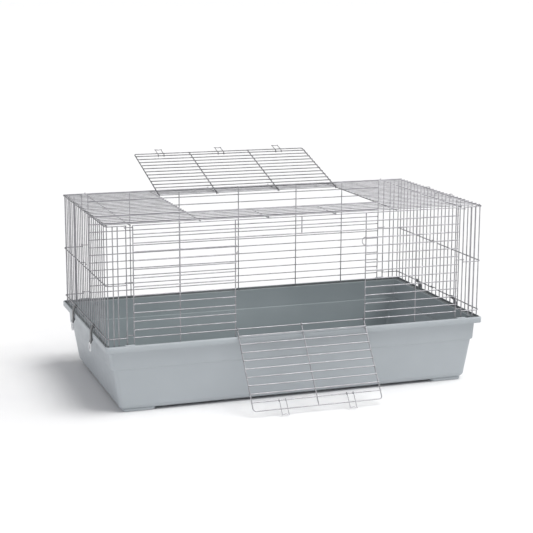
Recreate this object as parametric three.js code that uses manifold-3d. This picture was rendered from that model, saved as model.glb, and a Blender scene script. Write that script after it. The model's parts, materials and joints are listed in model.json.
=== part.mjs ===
// Indoor rabbit hutch: a wire cage top with a front door and a roof door, standing on a deep moulded tray.
// Millimetres, +Z up, +X along the length, the front faces -Y. Both doors stand open.
// Every wire has a square section here. Frame wires are a little thicker than grid wires, so a grid wire
// is welded to the frame wires it crosses and passes the other grid wires with a hair of clearance.
import * as THREE from 'three';
import Module from 'manifold-3d';
import { mergeVertices } from 'three/addons/utils/BufferGeometryUtils.js';

const wasm = await Module();
wasm.setup();

// Driving dimensions
const GRID = 1.1;                 // half thickness of a grid wire
const FRAME = 1.4;                // half thickness of a frame wire
const LAYER = 2.35;               // distance between two crossing layers of wire
const HALF_LENGTH = 494;          // wire cage, centre to the end rows
const HALF_DEPTH = 255;           // wire cage, centre to the front and back rows
const WIRE_FOOT = 166;            // lowest end of the upright wires, inside the tray's rebate
const BOTTOM_ROW = 188;           // height of the bottom row of wire
const FIRST_PITCH = 18.8;         // bottom row to the next row
const PITCH = 21.2;               // all further rows
const ROWS = 14;
const TOP_ROW = BOTTOM_ROW + FIRST_PITCH + PITCH * (ROWS - 2);
const MIDDLE_ROW = 318;           // middle row of the four corner panels
const UPRIGHT_TOP = TOP_ROW + 1;

// Front and back panels
const PANEL_EDGE = 427;           // edge uprights
const PANEL_INNER = 312;          // intermediate uprights
const DOOR_POST = 172;            // uprights beside the front opening
const LINTEL = 11;                // row over the front opening, counted from the bottom row
const STOP = { height: 388, out: 8.8, half: 10 };   // the two bent door stops on the posts

// Corner panels
const CORNER_BEND = 8;
const CORNER_FACE = [444, 464.5, 476.5];   // uprights on the front or back face
const SIDE_PITCH = 21.9;
const SIDE_COUNT = 11;
const SIDE_END_FRONT = -7;        // last upright of the front corner panels
const SIDE_END_REAR = 17;         // last upright of the rear corner panels
const HOOK_LIFT = 5;              // the joining hooks sit this far from the rows they serve
const HOOK = { radius: 3.3, wire: 1, start: 2.25 };   // start is the weld's depth behind the upright

// Roof panel
const ROOF_ROWS = 24;
const ROOF_EDGE_ROW = 241.5;      // first and last long wires, from the middle
const ROOF_PITCH = 2 * ROOF_EDGE_ROW / (ROOF_ROWS - 1);
const ROOF_Z = TOP_ROW + 2.85;    // long wires
const ROOF_CROSS_Z = ROOF_Z - LAYER;
const ROOF_END = 488.5;
const ROOF_OUTER_CROSS = 434;
const ROOF_OPENING = 258;         // half length of the roof opening
const ROOF_INNER_CROSS = 88;
const ROOF_CROSS_END = 246;       // the cross wires end here, inside the panels' top rows
const OPENING_FRONT = 6;          // long wires on both sides of the roof opening, counted from the front
const OPENING_REAR = 20;
// Roof hooks: lengths are measured inwards from the panels' top row
const ROOF_HOOK = { radius: 3.45, straight: 7, start: 12, weld: 10 };

// Doors: reach is how far a latch clip's bar stands past the free edge
const LOOP = 3.4;                 // hinge loop, centre line radius
const LOOP_WIRE = 1;
const FRONT_DOOR = { half: 168.4, length: 214.3, pitch: 21.6, rows: 9, uprights: [0], bend: 8, reach: 19 };
const ROOF_DOOR = {
  half: 254, length: 279.5, pitch: 21.5, rows: 12, uprights: [-84, 92.5], bend: 6, reach: 17.5,
};
const FRONT_OPEN = 144;           // degrees from closed to hanging over the tray's rim
const ROOF_OPEN = 164;            // degrees from closed to leaning back
const CLIP_LEG = 0.9;             // half thickness of the latch clips' wire
const CLIP_LOOP = 2.8;
const CLIP_HALF_WIDTH = 8.5;
const CLIP_FLARE = 2.6;           // how far the bar stands past the two legs
const FRONT_CLIPS = { front_clip_left: -91, front_clip_right: 86 };
const ROOF_CLIPS = { roof_clip_left: 181, roof_clip_centre: 3, roof_clip_right: -173 };

// Tray: half length, half depth, corner radius and height of each outline, from the underside, up the
// outside, round the lip and the rebate for the wires, and down the inside to the floor
const TRAY_OUTLINES = [
  [450, 233, 10, 5], [460, 242, 12, 9], [465, 247, 14, 20],
  [479, 251.5, 12, 108], [484.5, 253.5, 12, 111], [488, 255, 12, 162],
  [497, 264, 8, 162], [497, 264, 8, 155.5], [500, 267, 9.5, 155.5],
  [500, 267, 9.5, 168.5], [498.5, 265.5, 8.5, 170], [497.4, 258, 6.5, 170], [497.4, 258, 6.5, 165],
  [484.8, 251, 10, 165], [481.5, 250.5, 10, 112], [476, 248.5, 10, 109],
  [462, 244, 12, 21], [456, 239, 11, 12], [447, 230, 10, 8],
];
const TRAY_CORNER_STEPS = 4;
const FOOT = { x: 414, y: 214, z: 0, length: 84, depth: 54, height: 7, radius: 12 };
const RIM_TAB = { x: 440, y: 262, z: 168, length: 26, depth: 6, height: 4.6, radius: 2.5 };

// Tray clips: levers that turn on the end panels' bottom rows and hook under the tray's lip
// Depths are outwards from that row and heights are from it.
const TRAY_CLIP = {
  width: 16,
  barrel: { radius: 3.6, half: 1.2 },
  strap: { half: 1.3, path: [[3.4, -2], [7.6, -12], [8.3, -19], [8.3, -36], [10.5, -44]] },
  nose: [[4, -34.2], [8.3, -34.2], [8.3, -41], [5.2, -36.6]],
  ring: { radius: 9.4, half: 3.4, thickness: 2.6, out: 10.5, drop: 54 },
};
const TRAY_CLIP_FRONT = SIDE_END_FRONT - SIDE_PITCH * 4.5;
const TRAY_CLIP_REAR = SIDE_END_REAR + SIDE_PITCH * 4.5;

// Joining rings that tie the roof panel to the right end
const RING = { x: 491.2, lift: 0.3, radius: 5.9, half: 0.9 };
const RING_PLACES = { joining_ring_front: -80, joining_ring_rear: 57 };

// Solids
function solidOf(geometry) {
  const plain = geometry.clone();
  plain.deleteAttribute('normal');
  plain.deleteAttribute('uv');
  const merged = mergeVertices(plain, 1e-4);
  return new wasm.Manifold(new wasm.Mesh({
    numProp: 3,
    vertProperties: new Float32Array(merged.attributes.position.array),
    triVerts: new Uint32Array(merged.index.array),
  }));
}

function joined(geometries, mirrored = false) {
  const whole = geometries.map(solidOf).reduce((sum, solid) => sum.add(solid));
  const mesh = (mirrored ? whole.mirror([1, 0, 0]) : whole).getMesh();
  const geometry = new THREE.BufferGeometry();
  geometry.setAttribute('position', new THREE.BufferAttribute(new Float32Array(mesh.vertProperties), 3));
  geometry.setIndex(new THREE.BufferAttribute(new Uint32Array(mesh.triVerts), 1));
  geometry.computeVertexNormals();
  return geometry;
}

function material(color, roughness, metalness) {
  return new THREE.MeshStandardMaterial({ color, roughness, metalness });
}

function wireMesh(name, geometries, mirrored = false) {
  const mesh = new THREE.Mesh(joined(geometries, mirrored), material(0xb9bcc0, 0.35, 0.9));
  mesh.name = name;
  return mesh;
}

function plasticMesh(name, geometries, color) {
  const mesh = new THREE.Mesh(joined(geometries), material(color, 0.5, 0));
  mesh.name = name;
  return mesh;
}

// Straight wires
function wireX(x0, x1, y, z, half) {
  return new THREE.BoxGeometry(Math.abs(x1 - x0), 2 * half, 2 * half).translate((x0 + x1) / 2, y, z);
}

function wireY(x, y0, y1, z, half) {
  return new THREE.BoxGeometry(2 * half, Math.abs(y1 - y0), 2 * half).translate(x, (y0 + y1) / 2, z);
}

function wireZ(x, y, z0, z1, half) {
  return new THREE.BoxGeometry(2 * half, 2 * half, Math.abs(z1 - z0)).translate(x, y, (z0 + z1) / 2);
}

// Bent wires: a strip of even width along a flat path, extruded to the wire's thickness
function arc(cx, cy, radius, fromDegrees, toDegrees, steps) {
  const points = [];
  for (let i = 0; i <= steps; i++) {
    const angle = THREE.MathUtils.degToRad(fromDegrees + (toDegrees - fromDegrees) * i / steps);
    points.push([cx + radius * Math.cos(angle), cy + radius * Math.sin(angle)]);
  }
  return points;
}

function pointsOf(path) {
  return path.map(([a, b]) => new THREE.Vector2(a, b));
}

function shapeOf(path) {
  return new THREE.Shape(pointsOf(path));
}

function stripShape(path, half) {
  const points = pointsOf(path);
  const left = [];
  const right = [];
  points.forEach((point, i) => {
    const before = points[Math.max(i - 1, 0)];
    const after = points[Math.min(i + 1, points.length - 1)];
    const into = (i > 0 ? point.clone().sub(before) : after.clone().sub(point)).normalize();
    const out = (i < points.length - 1 ? after.clone().sub(point) : point.clone().sub(before)).normalize();
    const along = into.clone().add(out).normalize();
    const reach = half / along.dot(into);
    const side = new THREE.Vector2(-along.y, along.x).multiplyScalar(reach);
    left.push(point.clone().add(side));
    right.push(point.clone().sub(side));
  });
  return new THREE.Shape([...left, ...right.reverse()]);
}

const X = new THREE.Vector3(1, 0, 0);
const Y = new THREE.Vector3(0, 1, 0);
const Z = new THREE.Vector3(0, 0, 1);
const PLANES = {
  xy: new THREE.Matrix4(),
  yz: new THREE.Matrix4().makeBasis(Y, Z, X),
  xz: new THREE.Matrix4().makeBasis(X, Z, Y.clone().negate()),
};

function extruded(shape, width, plane, x, y, z) {
  const settings = { depth: width, bevelEnabled: false, curveSegments: 3 };
  const geometry = new THREE.ExtrudeGeometry(shape, settings);
  geometry.translate(0, 0, -width / 2);
  geometry.applyMatrix4(PLANES[plane]);
  return geometry.translate(x, y, z);
}

function bentWire(path, half, plane, x = 0, y = 0, z = 0) {
  return extruded(stripShape(path, half), 2 * half, plane, x, y, z);
}

function ringShape(radius, half) {
  const shape = shapeOf(arc(0, 0, radius + half, 0, 324, 9));
  shape.holes.push(new THREE.Path(pointsOf(arc(0, 0, radius - half, 0, 324, 9))));
  return shape;
}

function rowHeight(row) {
  return row === 0 ? BOTTOM_ROW : BOTTOM_ROW + FIRST_PITCH + PITCH * (row - 1);
}

// A hook that leaves the inner face of one panel's edge upright and curls round the next panel's upright.
// start and around are those two uprights, measured along the wall; inward is the way into the cage.
function joiningHook(place, start, around, inward, z) {
  const way = Math.sign(around - start);
  const gap = Math.abs(around - start);
  const curl = arc(gap, 0, HOOK.radius, 90, -50, 5);
  const path = [[-1, HOOK.start], [gap * 0.3, HOOK.start], [gap * 0.6, HOOK.radius], ...curl];
  const placed = path.map(([along, depth]) => place(start + way * along, inward * depth));
  return bentWire(placed, HOOK.wire, 'xy', 0, 0, z);
}

const HOOK_HEIGHTS = [BOTTOM_ROW + HOOK_LIFT, MIDDLE_ROW + HOOK_LIFT, TOP_ROW - HOOK_LIFT];

// Front and back panels: side is -1 for the front and 1 for the back
function panelHooks(side) {
  const layer = side * (HALF_DEPTH - LAYER);
  const hooks = [];
  for (const end of [-1, 1]) {
    for (const z of HOOK_HEIGHTS) {
      const place = (along, depth) => [along, layer + depth];
      hooks.push(joiningHook(place, end * PANEL_EDGE, end * CORNER_FACE[0], -side, z));
    }
  }
  return hooks;
}

function panelRow(row, side, from, to) {
  const half = row === 0 || row === ROWS - 1 || (row === LINTEL && side < 0) ? FRAME : GRID;
  return wireX(from, to, side * HALF_DEPTH, rowHeight(row), half);
}

function panelUpright(x, side, half, foot = WIRE_FOOT) {
  return wireZ(x, side * (HALF_DEPTH - LAYER), foot, UPRIGHT_TOP, half);
}

function backPanel() {
  const reach = PANEL_EDGE + FRAME;
  const wires = panelHooks(1);
  for (let row = 0; row < ROWS; row++) wires.push(panelRow(row, 1, -reach, reach));
  for (const x of [-PANEL_EDGE, PANEL_EDGE]) wires.push(panelUpright(x, 1, FRAME));
  for (const x of [-PANEL_INNER, -DOOR_POST, 0, DOOR_POST, PANEL_INNER]) {
    wires.push(panelUpright(x, 1, GRID));
  }
  return wireMesh('back_panel', wires);
}

function doorStop(end) {
  const path = arc(0, 0, 1, 90, 270, 4).map(([a, b]) => [end * a * STOP.out, b * STOP.half]);
  return bentWire(path, GRID, 'xz', end * DOOR_POST, -(HALF_DEPTH - 2 * LAYER), STOP.height);
}

function frontPanel() {
  const reach = PANEL_EDGE + FRAME;
  const post = DOOR_POST - FRAME;
  const wires = panelHooks(-1);
  for (let row = 0; row < ROWS; row++) {
    const beside = row > 0 && row < LINTEL;
    const stretches = beside ? [[-reach, -post], [post, reach]] : [[-reach, reach]];
    for (const [from, to] of stretches) wires.push(panelRow(row, -1, from, to));
  }
  for (const x of [-PANEL_EDGE, -DOOR_POST, DOOR_POST, PANEL_EDGE]) wires.push(panelUpright(x, -1, FRAME));
  for (const x of [-PANEL_INNER, PANEL_INNER]) wires.push(panelUpright(x, -1, GRID));
  wires.push(panelUpright(0, -1, GRID, rowHeight(LINTEL) - 1));
  wires.push(doorStop(-1), doorStop(1));
  return wireMesh('front_panel', wires);
}

// Corner panels: side is -1 for the front and 1 for the back. They are laid out at the left end, and those
// of the right end are their mirror images.
function cornerRow(side, z, half) {
  const sideEnd = side < 0 ? SIDE_END_FRONT + FRAME : SIDE_END_REAR - FRAME;
  const bend = arc(HALF_LENGTH - CORNER_BEND, HALF_DEPTH - CORNER_BEND, CORNER_BEND, 90, 0, 3);
  const path = [[CORNER_FACE[0] - FRAME, HALF_DEPTH], ...bend, [HALF_LENGTH, side * sideEnd]];
  return bentWire(path.map(([x, y]) => [-x, side * y]), half, 'xy', 0, 0, z);
}

function cornerUpright(side) {
  const inset = CORNER_BEND - (CORNER_BEND - LAYER) * Math.SQRT1_2;
  const corner = new THREE.BoxGeometry(2 * GRID, 2 * GRID, UPRIGHT_TOP - WIRE_FOOT);
  corner.rotateZ(Math.PI / 4);
  return corner.translate(inset - HALF_LENGTH, side * (HALF_DEPTH - inset), (UPRIGHT_TOP + WIRE_FOOT) / 2);
}

function cornerPanel(name, side, mirrored) {
  const wires = [
    cornerRow(side, BOTTOM_ROW, FRAME),
    cornerRow(side, MIDDLE_ROW, GRID),
    cornerRow(side, TOP_ROW, FRAME),
    cornerUpright(side),
  ];
  CORNER_FACE.forEach((x, i) => {
    wires.push(wireZ(-x, side * (HALF_DEPTH - LAYER), WIRE_FOOT, UPRIGHT_TOP, i === 0 ? FRAME : GRID));
  });
  const last = side < 0 ? SIDE_END_FRONT : SIDE_END_REAR;
  const layer = LAYER - HALF_LENGTH;
  for (let i = 0; i < SIDE_COUNT; i++) {
    wires.push(wireZ(layer, last + side * SIDE_PITCH * i, WIRE_FOOT, UPRIGHT_TOP, i === 0 ? FRAME : GRID));
  }
  if (side < 0) {
    const place = (along, depth) => [layer + depth, along];
    for (const z of HOOK_HEIGHTS) wires.push(joiningHook(place, SIDE_END_FRONT, SIDE_END_REAR, 1, z));
  }
  return wireMesh(name, wires, mirrored);
}

// Roof panel
function roofRow(row) {
  return -ROOF_EDGE_ROW + ROOF_PITCH * (row - 1);
}

function roofHook(x, side) {
  const bend = arc(HALF_DEPTH, TOP_ROW, ROOF_HOOK.radius, 155, -5, 5);
  const straight = [ROOF_HOOK.start, ROOF_HOOK.straight].map((inset) => [HALF_DEPTH - inset, ROOF_CROSS_Z]);
  const path = [...straight, ...bend];
  return bentWire(path.map(([y, z]) => [side * y, z]), GRID, 'yz', x);
}

function roofPanel() {
  const wires = [];
  const reach = HALF_LENGTH + 1;
  for (let row = 1; row <= ROOF_ROWS; row++) {
    const edge = [1, OPENING_FRONT, OPENING_REAR, ROOF_ROWS].includes(row);
    const open = row > OPENING_FRONT && row < OPENING_REAR;
    const inner = ROOF_OPENING - 1;
    const stretches = open ? [[-reach, -inner], [inner, reach]] : [[-reach, reach]];
    for (const [from, to] of stretches) {
      wires.push(wireX(from, to, roofRow(row), ROOF_Z, edge ? FRAME : GRID));
    }
  }
  for (const x of [-ROOF_END, -ROOF_OPENING, ROOF_OPENING, ROOF_END]) {
    wires.push(wireY(x, -ROOF_CROSS_END, ROOF_CROSS_END, ROOF_CROSS_Z, FRAME));
  }
  const hookStart = HALF_DEPTH - ROOF_HOOK.weld;
  for (const end of [-1, 1]) {
    wires.push(wireY(end * ROOF_OUTER_CROSS, -hookStart, hookStart, ROOF_CROSS_Z, GRID));
    for (const side of [-1, 1]) {
      const openingEdge = roofRow(side < 0 ? OPENING_FRONT : OPENING_REAR);
      wires.push(wireY(end * ROOF_INNER_CROSS, side * hookStart, openingEdge - side, ROOF_CROSS_Z, GRID));
      wires.push(roofHook(end * ROOF_OUTER_CROSS, side), roofHook(end * ROOF_INNER_CROSS, side));
    }
  }
  return wireMesh('roof_panel', wires);
}

// Doors, in their own frame: the hinge wire along X, +Y towards the free edge, +Z the outer face
function doorLeaf(name, door) {
  const { half, length, bend } = door;
  const rim = [
    [-half, LOOP], ...arc(-half + bend, length - bend, bend, 180, 90, 3),
    ...arc(half - bend, length - bend, bend, 90, 0, 3), [half, LOOP],
  ];
  const wires = [bentWire(rim, FRAME, 'xy')];
  for (const x of [-half, ...door.uprights, half]) {
    wires.push(extruded(ringShape(LOOP, LOOP_WIRE), 2 * GRID, 'yz', x, 0, 0));
  }
  for (const x of door.uprights) wires.push(wireY(x, LOOP, length, 0, GRID));
  for (let i = 1; i <= door.rows; i++) {
    wires.push(wireX(-half - 1, half + 1, length - door.pitch * i, -LAYER, GRID));
  }
  return wireMesh(name, wires);
}

// A latch clip turns on the row next to the free edge and lies along the inner face, past the edge
function latchClip(name, door, x) {
  const pivot = door.length - door.pitch;
  const tip = door.length + door.reach;
  const height = -LAYER - CLIP_LOOP;
  const leg = [...arc(pivot, -LAYER, CLIP_LOOP, 90, 270, 5), [tip, height]];
  const wires = [];
  for (const side of [-1, 1]) wires.push(bentWire(leg, CLIP_LEG, 'yz', x + side * CLIP_HALF_WIDTH));
  const reach = CLIP_HALF_WIDTH + CLIP_FLARE;
  wires.push(wireX(x - reach, x + reach, tip - CLIP_LEG, height, CLIP_LEG));
  return wireMesh(name, wires);
}

function doorGroup(leaf, door, clips) {
  const group = new THREE.Group();
  group.add(doorLeaf(leaf, door));
  for (const [name, x] of Object.entries(clips)) group.add(latchClip(name, door, x));
  return group;
}

function frontDoor() {
  const group = doorGroup('front_door', FRONT_DOOR, FRONT_CLIPS);
  group.rotation.x = THREE.MathUtils.degToRad(90 + FRONT_OPEN);
  group.position.set(0, -HALF_DEPTH, BOTTOM_ROW);
  return group;
}

function roofDoor() {
  const leaf = doorGroup('roof_door', ROOF_DOOR, ROOF_CLIPS);
  leaf.rotation.z = Math.PI;
  const group = new THREE.Group();
  group.add(leaf);
  group.rotation.x = THREE.MathUtils.degToRad(-ROOF_OPEN);
  group.position.set(0, roofRow(OPENING_REAR), ROOF_Z);
  return group;
}

// Tray
function roundedOutline(halfX, halfY, radius, z) {
  const points = [];
  for (const [signX, signY, start] of [[1, 1, 0], [-1, 1, 90], [-1, -1, 180], [1, -1, 270]]) {
    const cx = signX * (halfX - radius);
    const cy = signY * (halfY - radius);
    for (const [x, y] of arc(cx, cy, radius, start, start + 90, TRAY_CORNER_STEPS)) points.push(x, y, z);
  }
  return points;
}

function loft(outlines) {
  const positions = outlines.flatMap((outline) => roundedOutline(...outline));
  const count = 4 * (TRAY_CORNER_STEPS + 1);
  const top = count * (outlines.length - 1);
  const index = [];
  for (let level = 0; level < outlines.length - 1; level++) {
    for (let i = 0; i < count; i++) {
      const a = level * count + i;
      const b = level * count + (i + 1) % count;
      index.push(a, b, b + count, a, b + count, a + count);
    }
  }
  for (let i = 1; i < count - 1; i++) {
    index.push(0, i + 1, i);
    index.push(top, top + i, top + i + 1);
  }
  const geometry = new THREE.BufferGeometry();
  geometry.setAttribute('position', new THREE.Float32BufferAttribute(positions, 3));
  geometry.setIndex(index);
  return geometry;
}

function roundedBlock({ x, y, z, length, depth, height, radius }, signX, signY) {
  const points = [[1, 1, 0], [-1, 1, 90], [-1, -1, 180], [1, -1, 270]].flatMap(([sx, sy, start]) =>
    arc(sx * (length / 2 - radius), sy * (depth / 2 - radius), radius, start, start + 90, 3));
  return extruded(shapeOf(points), height, 'xy', signX * x, signY * y, z + height / 2);
}

function tray() {
  const solids = [loft(TRAY_OUTLINES)];
  for (const signX of [-1, 1]) {
    for (const signY of [-1, 1]) {
      solids.push(roundedBlock(FOOT, signX, signY), roundedBlock(RIM_TAB, signX, signY));
    }
  }
  return plasticMesh('tray', solids, 0xa4b0b4);
}

// A tray clip, in its own frame: the end wire along Y at the origin, +X outwards
function trayClip(name, end, y) {
  const { width, barrel, strap, nose, ring } = TRAY_CLIP;
  const solids = [
    extruded(ringShape(barrel.radius, barrel.half), width, 'xz', 0, 0, 0),
    extruded(stripShape(strap.path, strap.half), width, 'xz', 0, 0, 0),
    extruded(shapeOf(nose), width, 'xz', 0, 0, 0),
    extruded(ringShape(ring.radius, ring.half), ring.thickness, 'yz', ring.out, 0, -ring.drop),
  ];
  const mesh = plasticMesh(name, solids, 0x7f868b);
  mesh.position.set(end * HALF_LENGTH, y, BOTTOM_ROW);
  mesh.rotation.z = end > 0 ? 0 : Math.PI;
  return mesh;
}

function joiningRing(name, y) {
  const { x, lift, radius, half } = RING;
  return wireMesh(name, [extruded(ringShape(radius, half), 2 * half, 'xz', x, y, TOP_ROW + lift)]);
}

const hutch = new THREE.Group();
hutch.add(
  tray(),
  frontPanel(),
  backPanel(),
  cornerPanel('left_front_corner_panel', -1, false),
  cornerPanel('left_rear_corner_panel', 1, false),
  cornerPanel('right_front_corner_panel', -1, true),
  cornerPanel('right_rear_corner_panel', 1, true),
  roofPanel(),
  frontDoor(),
  roofDoor(),
  trayClip('tray_clip_left_front', -1, TRAY_CLIP_FRONT),
  trayClip('tray_clip_left_rear', -1, TRAY_CLIP_REAR),
  trayClip('tray_clip_right_front', 1, TRAY_CLIP_FRONT),
  trayClip('tray_clip_right_rear', 1, TRAY_CLIP_REAR),
);
for (const [name, y] of Object.entries(RING_PLACES)) hutch.add(joiningRing(name, y));

// The origin is the middle of the whole object's footprint, doors included, on the surface it stands on
const whole = new THREE.Group();
whole.add(hutch);
whole.updateMatrixWorld(true);
const bounds = new THREE.Box3().setFromObject(whole, true);
hutch.position.set(-(bounds.min.x + bounds.max.x) / 2, -(bounds.min.y + bounds.max.y) / 2, -bounds.min.z);

export default whole;
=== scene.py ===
"""Indoor rabbit hutch: round zinc-plated wires, a moulded tray and its clips, in place of the CAD solids."""

import bpy
import json
import math
from mathutils import Matrix, Vector


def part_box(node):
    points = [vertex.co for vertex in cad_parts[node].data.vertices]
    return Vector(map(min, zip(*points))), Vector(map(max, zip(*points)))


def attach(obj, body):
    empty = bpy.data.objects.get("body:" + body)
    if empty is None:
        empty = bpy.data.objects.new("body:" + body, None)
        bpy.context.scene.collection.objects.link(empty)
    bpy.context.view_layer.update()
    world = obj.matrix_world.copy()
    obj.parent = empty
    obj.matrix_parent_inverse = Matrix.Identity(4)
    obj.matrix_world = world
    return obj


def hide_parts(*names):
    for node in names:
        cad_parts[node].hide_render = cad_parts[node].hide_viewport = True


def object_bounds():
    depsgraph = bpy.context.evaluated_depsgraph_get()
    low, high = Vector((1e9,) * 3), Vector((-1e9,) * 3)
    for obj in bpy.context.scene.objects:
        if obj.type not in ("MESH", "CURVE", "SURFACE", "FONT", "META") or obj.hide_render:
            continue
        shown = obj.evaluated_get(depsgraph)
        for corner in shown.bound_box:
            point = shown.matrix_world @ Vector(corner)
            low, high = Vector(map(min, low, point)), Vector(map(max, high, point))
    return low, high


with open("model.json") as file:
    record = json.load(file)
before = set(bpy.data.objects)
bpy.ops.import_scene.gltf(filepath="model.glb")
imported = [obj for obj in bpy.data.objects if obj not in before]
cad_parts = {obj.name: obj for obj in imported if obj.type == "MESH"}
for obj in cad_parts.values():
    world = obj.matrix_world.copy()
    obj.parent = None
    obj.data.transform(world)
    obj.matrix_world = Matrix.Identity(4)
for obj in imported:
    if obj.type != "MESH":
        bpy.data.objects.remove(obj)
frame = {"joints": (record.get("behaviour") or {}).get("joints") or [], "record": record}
cad_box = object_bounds()

JOINTS = {joint["name"]: joint for joint in frame["joints"]}
BODIES = frame["record"]["behaviour"]["bodies"]
BODY_OF = {node: body for body, nodes in BODIES.items() for node in nodes}
MM = 0.001

# Places the frame gives
TRAY_LOW, TRAY_HIGH = (Vector(corner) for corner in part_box("tray"))
MIDDLE_Y = (TRAY_LOW.y + TRAY_HIGH.y) / 2
FRONT_HINGE = Vector(JOINTS["front_door_hinge"]["pos_m"])
ROOF_HINGE = Vector(JOINTS["roof_door_hinge"]["pos_m"])
FRONT_OPEN = JOINTS["front_door_hinge"]["range_deg"][1]
ROOF_OPEN = JOINTS["roof_door_hinge"]["range_deg"][1]

# Driving dimensions, in millimetres from the middle of the tray and from the floor
WIRE = 1.38                      # radius of the panels' wires
HOOK_WIRE = 1.1                  # radius of the hooks' and hinge loops' wire
CLIP_WIRE = 0.9                  # radius of the latch clips', joining rings' and door stops' wire
LAYER = 2.35                     # between crossing wires
HALF_LENGTH = 494
HALF_DEPTH = (MIDDLE_Y - FRONT_HINGE.y) / MM
BOTTOM_ROW = FRONT_HINGE.z / MM
ROOF_Z = ROOF_HINGE.z / MM
ROOF_CROSS_Z = ROOF_Z - LAYER
ROOF_RISE = 2.85                 # of the roof's rows over the panels' top row
TOP_ROW = ROOF_Z - ROOF_RISE
WIRE_FOOT = 166.3                # lowest end of the uprights, inside the tray's rebate
UPRIGHT_TOP = TOP_ROW + 0.8
ROWS = 14
FIRST_PITCH = 18.8               # from the bottom row to the next one
PITCH = (TOP_ROW - BOTTOM_ROW - FIRST_PITCH) / (ROWS - 2)
MIDDLE_ROW = 318
PANEL_EDGE = 427
PANEL_INNER = 312
DOOR_POST = 172
LINTEL = 11                      # number of the row over the front door
STOP = {"height": 388, "half": 10, "reach": 8.8}
CORNER_BEND = 8
CORNER_FACE = (444, 464.5, 476.5)
SIDE_PITCH = 21.9
SIDE_COUNT = 11
SIDE_END_FRONT = -7
SIDE_END_REAR = 17
HOOK_LIFT = 5
HOOK_HEIGHTS = (BOTTOM_ROW + HOOK_LIFT, MIDDLE_ROW + HOOK_LIFT, TOP_ROW - HOOK_LIFT)
HOOK_RADIUS = 3.3
HOOK_DEPTH = 2.25                # of its straight part, from the upright's middle
HOOK_SLOPE = (0.3, 0.6)          # where it leaves that depth and reaches its radius, in shares of the gap
ROOF_ROWS = 24
ROOF_EDGE_ROW = 241.5
ROOF_PITCH = 2 * ROOF_EDGE_ROW / (ROOF_ROWS - 1)
ROOF_REACH = HALF_LENGTH + 1
ROOF_END = 488.5
ROOF_CROSS_END = 246
ROOF_OUTER_CROSS = 434
ROOF_OPENING = 258
ROOF_INNER_CROSS = 88
ROOF_HOOK = {"start": 7, "radius": 3.45, "turn": (155, -5)}
OPENING_FRONT = 6                # numbers of the rows along the roof opening
OPENING_REAR = 20
RING = {"x": 491.2, "lift": 0.3, "radius": 5.9}
LOOP = 3.4                       # radius of the doors' hinge loops
LOOP_TURN = (70, 400)
CLIP_LOOP = 2.8                  # radius of the latch clips' loops
CLIP_LOOP_TURN = (-40, 270)
CLIP_HALF_WIDTH = 8.5
CLIP_BAR = ((0, -3.2), (1, -1.4), (4, -2), (7, -3))  # half of the bar: (inwards from the leg, past the tip)
CLIP_EAR = ((-0.4, -2.4), (0.9, -0.5), (1.7, 0))     # the curl beside it: (outwards, past the tip)
FRONT_DOOR = {"half": 168.4, "length": 214.3, "pitch": 21.6, "rows": 9, "uprights": (0,), "bend": 8,
              "reach": 19}
ROOF_DOOR = {"half": 254, "length": 279.5, "pitch": 21.5, "rows": 12, "uprights": (-84, 92.5), "bend": 6,
             "reach": 17.5}
DOOR_ROW_END = 1                 # of a door's rows past its rim
FOOT = {"x": 414, "y": 214, "size": (84, 54), "radius": 12, "z": (0, 7)}
RIM_TAB = {"x": 440, "y": 262, "size": (26, 6), "radius": 2.5, "z": (168, 172.5)}
BLOCK_EDGE = 0.8                 # softening of a block's top and bottom edges
FINGER_RING = {"out": 10.5, "up": -54, "outer": 12.2, "inner": 7.6, "half": 1.3}
LEVER_HALF = 8
LEVER_EDGE = 0.5
FLOOR_GAP = 0.0005               # in metres, from the feet down to the floor

CORNER_STEPS = 10                # faces round a corner of the tray
BLOCK_STEPS = 6
FILLET_STEPS = 5
RING_STEPS = 36

TUBE_SIDES = 10
ARC_STEP = 12                    # degrees between the points of a bend


def place(x, y, z):
    """A point given in millimetres from the middle of the tray, in the row frame."""
    return Vector((x * MM, y * MM + MIDDLE_Y, z * MM))


def arc(cx, cy, radius, start, end):
    """Points of a circular arc, start and end in degrees."""
    steps = max(2, math.ceil(abs(end - start) / ARC_STEP))
    angles = [math.radians(start + (end - start) * i / steps) for i in range(steps + 1)]
    return [(cx + radius * math.cos(a), cy + radius * math.sin(a)) for a in angles]


# ---------------------------------------------------------------- meshes
class Wires:
    """A mesh of round wires."""

    def __init__(self):
        self.points = []
        self.faces = []

    def add(self, path, radius, closed=False):
        """Sweeps a circle along the path. Radius is in millimetres."""
        path = [Vector(p) for p in path]
        count = len(path)
        start = len(self.points)
        side = None
        for i, point in enumerate(path):
            before = path[i - 1] if i or closed else point
            after = path[(i + 1) % count] if i < count - 1 or closed else point
            along = (after - before).normalized()
            if side is None:
                side = along.orthogonal().normalized()
            side = (side - along * side.dot(along)).normalized()
            up = along.cross(side)
            for k in range(TUBE_SIDES):
                angle = 2 * math.pi * k / TUBE_SIDES
                self.points.append(point + (side * math.cos(angle) + up * math.sin(angle)) * radius * MM)
        for i in range(count if closed else count - 1):
            ring, following = start + i * TUBE_SIDES, start + (i + 1) % count * TUBE_SIDES
            for k in range(TUBE_SIDES):
                turn = (k + 1) % TUBE_SIDES
                self.faces.append((ring + k, ring + turn, following + turn, following + k))
        if not closed:
            self.faces.append(tuple(start + k for k in reversed(range(TUBE_SIDES))))
            self.faces.append(tuple(start + (count - 1) * TUBE_SIDES + k for k in range(TUBE_SIDES)))

    def line(self, a, b, radius=WIRE):
        self.add([a, b], radius)


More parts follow.
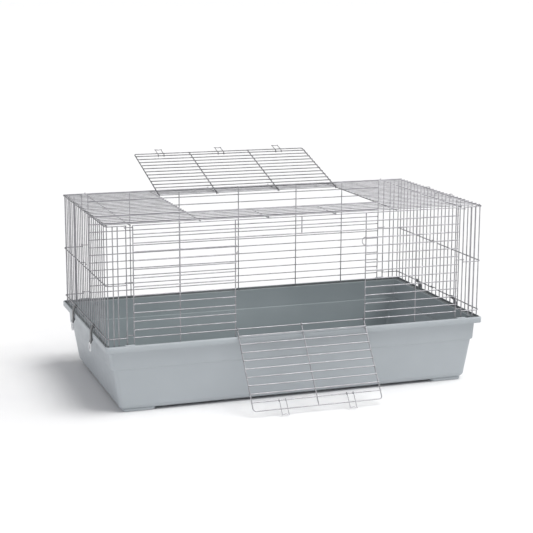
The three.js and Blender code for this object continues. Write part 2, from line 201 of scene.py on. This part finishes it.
def make_object(name, points, faces, material, sharp=50):
    mesh = bpy.data.meshes.new(name)
    mesh.from_pydata([tuple(p) for p in points], [], faces)
    mesh.validate()
    mesh.shade_smooth()
    mesh.set_sharp_from_angle(angle=math.radians(sharp))
    mesh.materials.append(material)
    made = bpy.data.objects.new(name, mesh)
    bpy.context.scene.collection.objects.link(made)
    return made


def stand_for(piece, node):
    """The piece takes the node's place: it moves with the node's body, and the node is hidden."""
    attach(piece, BODY_OF[node])
    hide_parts(node)


def finish_wires(wires, node, material):
    stand_for(make_object(node + "_wires", wires.points, wires.faces, material), node)


# ---------------------------------------------------------------- materials
def new_material(name):
    material = bpy.data.materials.new(name)
    material.use_nodes = True
    tree = material.node_tree
    return material, tree, tree.nodes["Principled BSDF"]


def noise(tree, scale, detail=3.0, stretch=(1, 1, 1)):
    """Noise in the piece's own coordinates, in metres."""
    coordinates = tree.nodes.new("ShaderNodeTexCoord")
    mapping = tree.nodes.new("ShaderNodeMapping")
    mapping.inputs["Scale"].default_value = stretch
    texture = tree.nodes.new("ShaderNodeTexNoise")
    texture.inputs["Scale"].default_value = scale
    texture.inputs["Detail"].default_value = detail
    tree.links.new(coordinates.outputs["Object"], mapping.inputs["Vector"])
    tree.links.new(mapping.outputs["Vector"], texture.inputs["Vector"])
    return texture.outputs["Fac"]


def ramp(tree, factor, low, high, low_value, high_value):
    """Maps a factor between low and high on to a colour or a grey value."""
    node = tree.nodes.new("ShaderNodeValToRGB")
    node.color_ramp.elements[0].position = low
    node.color_ramp.elements[1].position = high
    for element, value in zip(node.color_ramp.elements, (low_value, high_value)):
        element.color = (*value, 1) if isinstance(value, tuple) else (value, value, value, 1)
    tree.links.new(factor, node.inputs["Fac"])
    return node.outputs["Color"]


def bump(tree, shader, height, strength, distance):
    node = tree.nodes.new("ShaderNodeBump")
    node.inputs["Strength"].default_value = strength
    node.inputs["Distance"].default_value = distance
    tree.links.new(height, node.inputs["Height"])
    tree.links.new(node.outputs["Normal"], shader.inputs["Normal"])


def zinc_wire(name, dark, light):
    """Zinc plating: metallic, slightly mottled, with faint drawing marks."""
    material, tree, shader = new_material(name)
    shader.inputs["Metallic"].default_value = 1.0
    mottle = noise(tree, 60, 4)
    tones = [(grey, grey * 0.99, grey * 1.04) for grey in (dark, light)]
    tree.links.new(ramp(tree, mottle, 0.35, 0.7, *tones), shader.inputs["Base Color"])
    tree.links.new(ramp(tree, noise(tree, 140), 0.3, 0.7, 0.30, 0.48), shader.inputs["Roughness"])
    bump(tree, shader, noise(tree, 1500), 0.15, 0.0001)
    return material


def moulded_plastic(name, dark, light, roughness):
    """Injection-moulded plastic: cloudy colour, a fine grain and worn, uneven gloss."""
    material, tree, shader = new_material(name)
    tree.links.new(ramp(tree, noise(tree, 7, 5), 0.3, 0.7, dark, light), shader.inputs["Base Color"])
    gloss = ramp(tree, noise(tree, 45, 6), 0.3, 0.75, roughness - 0.06, roughness + 0.08)
    tree.links.new(gloss, shader.inputs["Roughness"])
    shader.inputs["Specular IOR Level"].default_value = 0.4
    bump(tree, shader, noise(tree, 1200, 2), 0.12, 0.0002)
    return material


# One zinc in three copies that paint in light and shade: painted light on the front panel, front door and its
# clips, half shade on the back, corners, roof and rings, painted shade on the roof door and its clips.
PAINTED_LIT_ZINC = zinc_wire("zinc_wire_painted_lit", 0.31, 0.42)
PAINTED_HALF_SHADE_ZINC = zinc_wire("zinc_wire_half_shade", 0.30, 0.41)
PAINTED_SHADE_ZINC = zinc_wire("zinc_wire_painted_shade", 0.15, 0.26)
TRAY_PLASTIC = moulded_plastic("tray_plastic", (0.416, 0.452, 0.476), (0.445, 0.481, 0.505), 0.42)
# Painted shade: the rim's groove is coloured dark for the shade that lies in it.
TRAY_GROOVE_PAINTED_SHADE = moulded_plastic("tray_groove_painted_shade", (0.12, 0.135, 0.14), (0.16, 0.175, 0.18), 0.6)
# Painted shade: the tray's inner walls and floor are a darker copy of the tray plastic, for the shade inside
# the tray.
TRAY_INSIDE_PAINTED_SHADE = moulded_plastic("tray_inside_painted_shade", (0.30, 0.34, 0.355), (0.335, 0.375, 0.39), 0.5)
CLIP_PLASTIC = moulded_plastic("clip_plastic", (0.105, 0.11, 0.115), (0.14, 0.145, 0.15), 0.38)
RING_PLASTIC = moulded_plastic("ring_plastic", (0.74, 0.76, 0.77), (0.80, 0.82, 0.83), 0.35)
# The tray's plastic, then its two painted shades: the groove's and the inside's.
TRAY_PLASTIC_AND_PAINTED_SHADE = (TRAY_PLASTIC, TRAY_GROOVE_PAINTED_SHADE, TRAY_INSIDE_PAINTED_SHADE)
FLOOR_PAINT = moulded_plastic("floor_paint", (0.84, 0.84, 0.85), (0.86, 0.86, 0.86), 0.7)


# ---------------------------------------------------------------- wire cage
def row_height(row):
    return BOTTOM_ROW if row == 0 else BOTTOM_ROW + FIRST_PITCH + PITCH * (row - 1)


def joining_hook(wires, spot, start, around, inward, z):
    """A hook from one panel's edge upright round the next panel's. spot maps (along, depth, z) to a point."""
    way = math.copysign(1, around - start)
    gap = abs(around - start)
    leaves, arrives = (gap * share for share in HOOK_SLOPE)
    path = [(-1, HOOK_DEPTH), (leaves, HOOK_DEPTH), (arrives, HOOK_RADIUS)]
    path += arc(gap, 0, HOOK_RADIUS, 90, -50)
    wires.add([spot(start + way * along, inward * depth, z) for along, depth in path], HOOK_WIRE)


def upright(wires, x, y, foot=WIRE_FOOT):
    wires.line(place(x, y, foot), place(x, y, UPRIGHT_TOP))


def door_stop(wires, end):
    """A wire bent round the door post, on the inside of the front panel."""
    y = -(HALF_DEPTH - 2 * LAYER)
    half_turn = arc(0, 0, 1, 90, 270)
    bow = [(DOOR_POST + STOP["reach"] * a, STOP["height"] + STOP["half"] * b) for a, b in half_turn]
    wires.add([place(end * x, y, z) for x, z in bow], CLIP_WIRE)


def panel(side, door):
    """The front panel, at side -1 and with the door's opening, or the back panel, at side 1."""
    wires = Wires()
    face, layer = side * HALF_DEPTH, side * (HALF_DEPTH - LAYER)
    reach = PANEL_EDGE + WIRE
    post = DOOR_POST - WIRE
    for row in range(ROWS):
        z = row_height(row)
        beside = door and 0 < row < LINTEL
        for start, end in ((-reach, -post), (post, reach)) if beside else ((-reach, reach),):
            wires.line(place(start, face, z), place(end, face, z))
    for x in (-PANEL_EDGE, -PANEL_INNER, -DOOR_POST, DOOR_POST, PANEL_INNER, PANEL_EDGE):
        upright(wires, x, layer)
    upright(wires, 0, layer, row_height(LINTEL) - WIRE if door else WIRE_FOOT)
    for end in (-1, 1):
        for z in HOOK_HEIGHTS:
            joining_hook(wires, lambda along, depth, z: place(along, layer + depth, z),
                         end * PANEL_EDGE, end * CORNER_FACE[0], -side, z)
        if door:
            door_stop(wires, end)
    return wires


def corner_panel(end, side):
    """end is -1 at the left and 1 at the right, side is -1 at the front and 1 at the back."""
    wires = Wires()
    side_end = SIDE_END_FRONT + WIRE if side < 0 else SIDE_END_REAR - WIRE
    bend = arc(HALF_LENGTH - CORNER_BEND, HALF_DEPTH - CORNER_BEND, CORNER_BEND, 90, 0)
    outline = [(CORNER_FACE[0] - WIRE, HALF_DEPTH), *bend, (HALF_LENGTH, side * side_end)]
    for z in (BOTTOM_ROW, MIDDLE_ROW, TOP_ROW):
        wires.add([place(end * x, side * y, z) for x, y in outline], WIRE)
    for x in CORNER_FACE:
        upright(wires, end * x, side * (HALF_DEPTH - LAYER))
    inset = CORNER_BEND - (CORNER_BEND - LAYER) * math.sqrt(0.5)
    upright(wires, end * (HALF_LENGTH - inset), side * (HALF_DEPTH - inset))
    last = SIDE_END_FRONT if side < 0 else SIDE_END_REAR
    layer = end * (HALF_LENGTH - LAYER)
    for i in range(SIDE_COUNT):
        upright(wires, layer, last + side * SIDE_PITCH * i)
    if side < 0:
        for z in HOOK_HEIGHTS:
            joining_hook(wires, lambda along, depth, z: place(layer + depth, along, z),
                         SIDE_END_FRONT, SIDE_END_REAR, -end, z)
    return wires


def roof_row(row):
    return -ROOF_EDGE_ROW + ROOF_PITCH * (row - 1)


def roof_panel():
    wires = Wires()
    edge = ROOF_OPENING - WIRE
    whole, beside = ((-ROOF_REACH, ROOF_REACH),), ((-ROOF_REACH, -edge), (edge, ROOF_REACH))
    for row in range(1, ROOF_ROWS + 1):
        y = roof_row(row)
        for start, end in beside if OPENING_FRONT < row < OPENING_REAR else whole:
            wires.line(place(start, y, ROOF_Z), place(end, y, ROOF_Z))
    for x in (-ROOF_END, -ROOF_OPENING, ROOF_OPENING, ROOF_END):
        wires.line(place(x, -ROOF_CROSS_END, ROOF_CROSS_Z), place(x, ROOF_CROSS_END, ROOF_CROSS_Z))
    turn = arc(HALF_DEPTH, TOP_ROW, ROOF_HOOK["radius"], *ROOF_HOOK["turn"])
    hook = [(HALF_DEPTH - ROOF_HOOK["start"], ROOF_CROSS_Z), *turn]
    for end in (-1, 1):
        across = [(-y, z) for y, z in reversed(hook)] + hook
        wires.add([place(end * ROOF_OUTER_CROSS, y, z) for y, z in across], HOOK_WIRE)
        for side, row in ((-1, OPENING_FRONT), (1, OPENING_REAR)):
            path = [(side * roof_row(row) - WIRE, ROOF_CROSS_Z), *hook]
            wires.add([place(end * ROOF_INNER_CROSS, side * y, z) for y, z in path], HOOK_WIRE)
    return wires


def joining_ring(y):
    wires = Wires()
    circle = arc(RING["x"], TOP_ROW + RING["lift"], RING["radius"], 0, 360)[:-1]
    wires.add([place(x, y, z) for x, z in circle], CLIP_WIRE, closed=True)
    return wires


# ---------------------------------------------------------------- doors
FRONT_FRAME = Matrix.Translation(FRONT_HINGE) @ Matrix.Rotation(math.radians(90 + FRONT_OPEN), 4, "X")
ROOF_FRAME = (Matrix.Translation(ROOF_HINGE) @ Matrix.Rotation(math.radians(-ROOF_OPEN), 4, "X")
              @ Matrix.Rotation(math.pi, 4, "Z"))


def door_leaf(door, pose):
    """A door in its own frame: the hinge wire along X, +Y towards the free edge, +Z the outer face."""
    def at(x, y, z):
        return pose @ Vector((x * MM, y * MM, z * MM))

    wires = Wires()
    half, length, bend = door["half"], door["length"], door["bend"]
    rim = [(-half, LOOP), *arc(bend - half, length - bend, bend, 180, 90),
           *arc(half - bend, length - bend, bend, 90, 0), (half, LOOP)]
    wires.add([at(x, y, 0) for x, y in rim], WIRE)
    for x in (-half, *door["uprights"], half):
        wires.add([at(x, y, z) for y, z in arc(0, 0, LOOP, *LOOP_TURN)], HOOK_WIRE)
    for x in door["uprights"]:
        wires.line(at(x, LOOP, 0), at(x, length, 0))
    for i in range(1, door["rows"] + 1):
        y = length - door["pitch"] * i
        wires.line(at(-half - DOOR_ROW_END, y, -LAYER), at(half + DOOR_ROW_END, y, -LAYER))
    return wires


def latch_clip(door, pose, x):
    """A wire clip that turns on the row next to the free edge, its bar bowed past the edge."""
    pivot = door["length"] - door["pitch"]
    tip = door["length"] + door["reach"] - CLIP_WIRE
    depth = -LAYER - CLIP_LOOP
    leg = x - CLIP_HALF_WIDTH
    left = [(leg, y, z) for y, z in arc(pivot, -LAYER, CLIP_LOOP, *CLIP_LOOP_TURN)]
    left += [(leg + inward, tip + past, depth) for inward, past in CLIP_BAR]
    right = [(2 * x - left_x, y, z) for left_x, y, z in reversed(left)]
    paths = [left + right]
    for side in (-1, 1):
        ear = [(CLIP_HALF_WIDTH + outward, tip + past) for outward, past in CLIP_EAR]
        paths.append([(x + side * out, y, depth) for out, y in ear])
    wires = Wires()
    for path in paths:
        wires.add([pose @ (Vector(point) * MM) for point in path], CLIP_WIRE)
    return wires


# ---------------------------------------------------------------- bodies from outlines
def loft(faces, start, count, levels):
    """Joins outlines of count points each, numbered from start, into a body that is closed at both ends."""
    for level in range(levels - 1):
        for i in range(count):
            a, b = start + level * count + i, start + level * count + (i + 1) % count
            faces.append((a, b, b + count, a + count))
    faces.append(tuple(start + i for i in reversed(range(count))))
    faces.append(tuple(start + (levels - 1) * count + i for i in range(count)))


def rounded_outline(half_x, half_y, radius, z, centre=(0, 0), steps=CORNER_STEPS):
    """A level rectangle with rounded corners."""
    points = []
    for sign_x, sign_y, start in ((1, 1, 0), (-1, 1, 90), (-1, -1, 180), (1, -1, 270)):
        for i in range(steps + 1):
            angle = math.radians(start + 90 * i / steps)
            points.append(place(centre[0] + sign_x * (half_x - radius) + radius * math.cos(angle),
                                centre[1] + sign_y * (half_y - radius) + radius * math.sin(angle), z))
    return points


def fillet(first, last, level_first):
    """Outlines from first to last along a quarter ellipse, which sets out level or upright."""
    made = []
    for i in range(FILLET_STEPS + 1):
        angle = math.pi / 2 * i / FILLET_STEPS
        early, late = math.sin(angle), 1 - math.cos(angle)
        flat, tall = (early, late) if level_first else (late, early)
        made.append(tuple(a + (b - a) * t for a, b, t in zip(first, last, (flat, flat, flat, tall))))
    return made


# ---------------------------------------------------------------- tray
def tray_shell():
    """The tray's points, faces and each face's material index: plain plastic, painted shade in the rim's
    groove, or painted shade inside.

    Its section is written as outlines of (half length, half depth, corner radius, height)."""
    outside = [
        (440, 226, 10, 5),
        *fillet((450, 233, 12, 5), (465, 247, 14, 20), True),
        (478.6, 251.2, 12, 106.5), (479, 251.5, 12, 108),
        (480, 252, 12, 109.2), (483.4, 253.2, 12, 110.4), (484.5, 253.5, 12, 112),
        (487.8, 254.9, 12, 161), (488.6, 255.6, 11.6, 162), (496, 263, 8, 162.2),
        (496.9, 263.9, 7.5, 161.5), (497.2, 264.2, 7.6, 156.2), (497.8, 264.8, 8, 155.5),
        (499.3, 266.3, 9, 155.5), (500, 267, 9.5, 156.4), (500, 267, 9.5, 167.4),
        (499.6, 266.6, 9.2, 169), (498.9, 265.9, 8.6, 169.8), (498.3, 262, 7.6, 170),
        (497.8, 258.6, 7, 169.9),
    ]
    groove = [
        (497.4, 258, 6.5, 169.2), (497.4, 258, 6.5, 165.5), (497, 257.6, 6.5, 165), (485.8, 251.8, 10.4, 165),
    ]
    inside = [
        (484.8, 251, 10, 164.2), (481.5, 250.5, 10, 112.4),
        (480.6, 250.2, 10, 110.8), (477, 248.9, 10, 110), (476, 248.5, 10, 108.6),
        (462, 244, 12, 21), *fillet((462, 244, 12, 21), (447, 230, 10, 8), False),
    ]
    outlines = outside + groove + inside
    points = [point for outline in outlines for point in rounded_outline(*outline)]
    count = len(points) // len(outlines)
    faces = []
    loft(faces, 0, count, len(outlines))
    # Each band's material: plain plastic outside, painted shade down the rim's groove, and painted shade on
    # the inner walls and the floor.
    bands = [0] * (len(outside) - 1) + [1] * len(groove) + [2] * len(inside)
    underside, floor = 0, 2
    face_tones = [tone_index for tone_index in bands for _ in range(count)] + [underside, floor]
    return points, faces, face_tones


def add_block(points, faces, block, sign_x, sign_y):
    """Adds an upright block with rounded corners and softened top and bottom edges."""
    start = len(points)
    centre = (sign_x * block["x"], sign_y * block["y"])
    half_x, half_y = (length / 2 for length in block["size"])
    low, high = block["z"]
    levels = ((low, BLOCK_EDGE), (low + BLOCK_EDGE, 0), (high - BLOCK_EDGE, 0), (high, BLOCK_EDGE))
    for z, inset in levels:
        points += rounded_outline(half_x - inset, half_y - inset, block["radius"] - inset, z, centre,
                                  BLOCK_STEPS)
    loft(faces, start, (len(points) - start) // len(levels), len(levels))


def build_tray():
    points, faces, face_tones = tray_shell()
    for sign_x in (-1, 1):
        for sign_y in (-1, 1):
            add_block(points, faces, FOOT, sign_x, sign_y)
            add_block(points, faces, RIM_TAB, sign_x, sign_y)
    tray = make_object("tray_shell", points, faces, TRAY_PLASTIC_AND_PAINTED_SHADE[0], sharp=40)
    for material in TRAY_PLASTIC_AND_PAINTED_SHADE[1:]:
        tray.data.materials.append(material)
    for polygon, tone_index in zip(tray.data.polygons, face_tones):
        polygon.material_index = tone_index
    stand_for(tray, "tray")


# ---------------------------------------------------------------- tray clips
# Sections of the lever: (outwards, up) from the wire it turns on, clockwise on a right clip from the front
BARREL = arc(0, 0, 4.6, 330, 60) + arc(0, 0, 2.5, 60, 330)
STRAP = [(4.4, -1), (8.6, -11), (9.5, -18), (9.5, -36), (11.6, -44), (9.2, -44.6), (7, -40), (5.2, -36.6),
         (4, -34.2), (7.1, -34), (7.1, -19), (6.4, -12), (2.4, -3)]


def slab(points, faces, outline):
    """Adds an outline extruded along Y, its two faces a little smaller than its middle."""
    start, count = len(points), len(outline)
    centre_x = sum(x for x, z in outline) / count
    centre_z = sum(z for x, z in outline) / count
    flat = LEVER_HALF - LEVER_EDGE
    levels = ((-LEVER_HALF, LEVER_EDGE), (-flat, 0), (flat, 0), (LEVER_HALF, LEVER_EDGE))
    for y, shrink in levels:
        for x, z in outline:
            away = Vector((x - centre_x, z - centre_z))
            away = away.normalized() * min(shrink, away.length)
            points.append((x - away.x, y, z - away.y))
    loft(faces, start, count, len(levels))


def finger_ring():
    """A flat ring in the plane of the end wall, with softened edges."""
    outer, inner, half = FINGER_RING["outer"], FINGER_RING["inner"], FINGER_RING["half"]
    inner_edge, outer_edge = 0.5, 0.6
    section = ((inner, -half + inner_edge), (inner + inner_edge, -half),
               (outer - outer_edge, -half), (outer, -half + outer_edge),
               (outer, half - outer_edge), (outer - outer_edge, half),
               (inner + inner_edge, half), (inner, half - inner_edge))
    size = len(section)
    points, faces = [], []
    for i in range(RING_STEPS):
        angle = 2 * math.pi * i / RING_STEPS
        for radius, depth in section:
            points.append((FINGER_RING["out"] + depth, radius * math.sin(angle),
                           FINGER_RING["up"] + radius * math.cos(angle)))
        here, following = i * size, (i + 1) % RING_STEPS * size
        for k in range(size):
            turn = (k + 1) % size
            faces.append((here + k, here + turn, following + turn, following + k))
    return points, faces


def tray_clip(node, end):
    """A plastic lever on the cage's bottom wire, hooked under the tray's lip, and its finger ring."""
    low, high = (Vector(corner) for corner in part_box(node))
    pivot = Vector((end * HALF_LENGTH * MM, (low.y + high.y) / 2, BOTTOM_ROW * MM))

    def add_piece(suffix, points, faces, material):
        """Puts a piece in its place. A left clip is a mirror image, so its faces are turned round."""
        placed = [pivot + Vector((end * x * MM, y * MM, z * MM)) for x, y, z in points]
        turned = faces if end > 0 else [face[::-1] for face in faces]
        stand_for(make_object(node + suffix, placed, turned, material, sharp=35), node)

    points, faces = [], []
    slab(points, faces, BARREL)
    slab(points, faces, STRAP)
    add_piece("_lever", points, faces, CLIP_PLASTIC)
    add_piece("_ring", *finger_ring(), RING_PLASTIC)


# ---------------------------------------------------------------- everything in place
build_tray()
# The front's wires take the painted-light zinc, the back, corners, roof and rings the half-shaded zinc, and
# the roof door the painted-shade zinc.
finish_wires(panel(-1, True), "front_panel", PAINTED_LIT_ZINC)
finish_wires(panel(1, False), "back_panel", PAINTED_HALF_SHADE_ZINC)
for left_right, end in (("left", -1), ("right", 1)):
    for front_rear, side in (("front", -1), ("rear", 1)):
        finish_wires(corner_panel(end, side), f"{left_right}_{front_rear}_corner_panel", PAINTED_HALF_SHADE_ZINC)
        tray_clip(f"tray_clip_{left_right}_{front_rear}", end)
finish_wires(roof_panel(), "roof_panel", PAINTED_HALF_SHADE_ZINC)
for ring_node in ("joining_ring_front", "joining_ring_rear"):
    ring_low, ring_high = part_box(ring_node)
    finish_wires(joining_ring(((ring_low[1] + ring_high[1]) / 2 - MIDDLE_Y) / MM), ring_node, PAINTED_HALF_SHADE_ZINC)
finish_wires(door_leaf(FRONT_DOOR, FRONT_FRAME), "front_door", PAINTED_LIT_ZINC)
finish_wires(door_leaf(ROOF_DOOR, ROOF_FRAME), "roof_door", PAINTED_SHADE_ZINC)
for clip_node in [node for node in BODY_OF if node.startswith(("front_clip", "roof_clip"))]:
    clip_low, clip_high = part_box(clip_node)
    clip_x = (clip_low[0] + clip_high[0]) / 2 / MM
    if clip_node.startswith("front"):
        finish_wires(latch_clip(FRONT_DOOR, FRONT_FRAME, clip_x), clip_node, PAINTED_LIT_ZINC)
    else:
        finish_wires(latch_clip(ROOF_DOOR, ROOF_FRAME, -clip_x), clip_node, PAINTED_SHADE_ZINC)


# ---------------------------------------------------------------- floor, light and camera
def make_floor():
    half = 300
    floor = make_object("floor", [(-half, -half, 0), (half, -half, 0), (half, half, 0), (-half, half, 0)],
                        [(0, 1, 2, 3)], FLOOR_PAINT)
    floor.location.z = cad_box[0][2] - FLOOR_GAP


def soft_light(name, energy, spread, toward, color):
    """A broad, distant light. toward points from the object to the light, spread is its width in degrees."""
    light = bpy.data.lights.new(name, "SUN")
    light.energy = energy
    light.angle = math.radians(spread)
    light.color = color
    lamp = bpy.data.objects.new(name, light)
    lamp.rotation_euler = Vector(toward).to_track_quat("Z", "Y").to_euler()
    bpy.context.scene.collection.objects.link(lamp)


def make_world():
    """An even, rather dim room whose horizon is as pale as the floor."""
    world = bpy.data.worlds.new("studio")
    world.use_nodes = True
    tree = world.node_tree
    direction = tree.nodes.new("ShaderNodeTexCoord")
    height = tree.nodes.new("ShaderNodeSeparateXYZ")
    tree.links.new(direction.outputs["Generated"], height.inputs["Vector"])
    horizon, overhead = (0.95, 0.95, 0.95), (0.398, 0.402, 0.41)
    room = ramp(tree, height.outputs["Z"], 0.02, 0.12, horizon, overhead)
    tree.links.new(room, tree.nodes["Background"].inputs["Color"])
    bpy.context.scene.world = world


def make_camera():
    """The picture's viewpoint: from the front left and a little above."""
    azimuth, elevation, roll = math.radians(19.214), math.radians(11.794), math.radians(0.217)
    forward = Vector((math.sin(azimuth) * math.cos(elevation), math.cos(azimuth) * math.cos(elevation),
                      -math.sin(elevation)))
    level = forward.cross(Vector((0, 0, 1))).normalized()
    upward = level.cross(forward)
    right = level * math.cos(roll) + upward * math.sin(roll)
    top = upward * math.cos(roll) - level * math.sin(roll)
    data = bpy.data.cameras.new("camera")
    data.lens = 93.96
    data.sensor_width = 36
    data.clip_end = 100
    camera = bpy.data.objects.new("camera", data)
    spot = place(-1192.3, -3409.9, 1038.5)
    axes = Matrix((right, top, -forward)).transposed().to_4x4()
    camera.matrix_world = Matrix.Translation(spot) @ axes
    bpy.context.scene.collection.objects.link(camera)
    bpy.context.scene.camera = camera


make_floor()
make_world()
soft_light("key", 2.9, 42, (0.5, -0.25, 1.1), (1.0, 0.995, 0.985))
soft_light("left_fill", 0.48, 40, (-1.0, -0.4, 0.2), (1.0, 0.93, 1.0))
make_camera()
bpy.context.scene.view_settings.view_transform = "Standard"
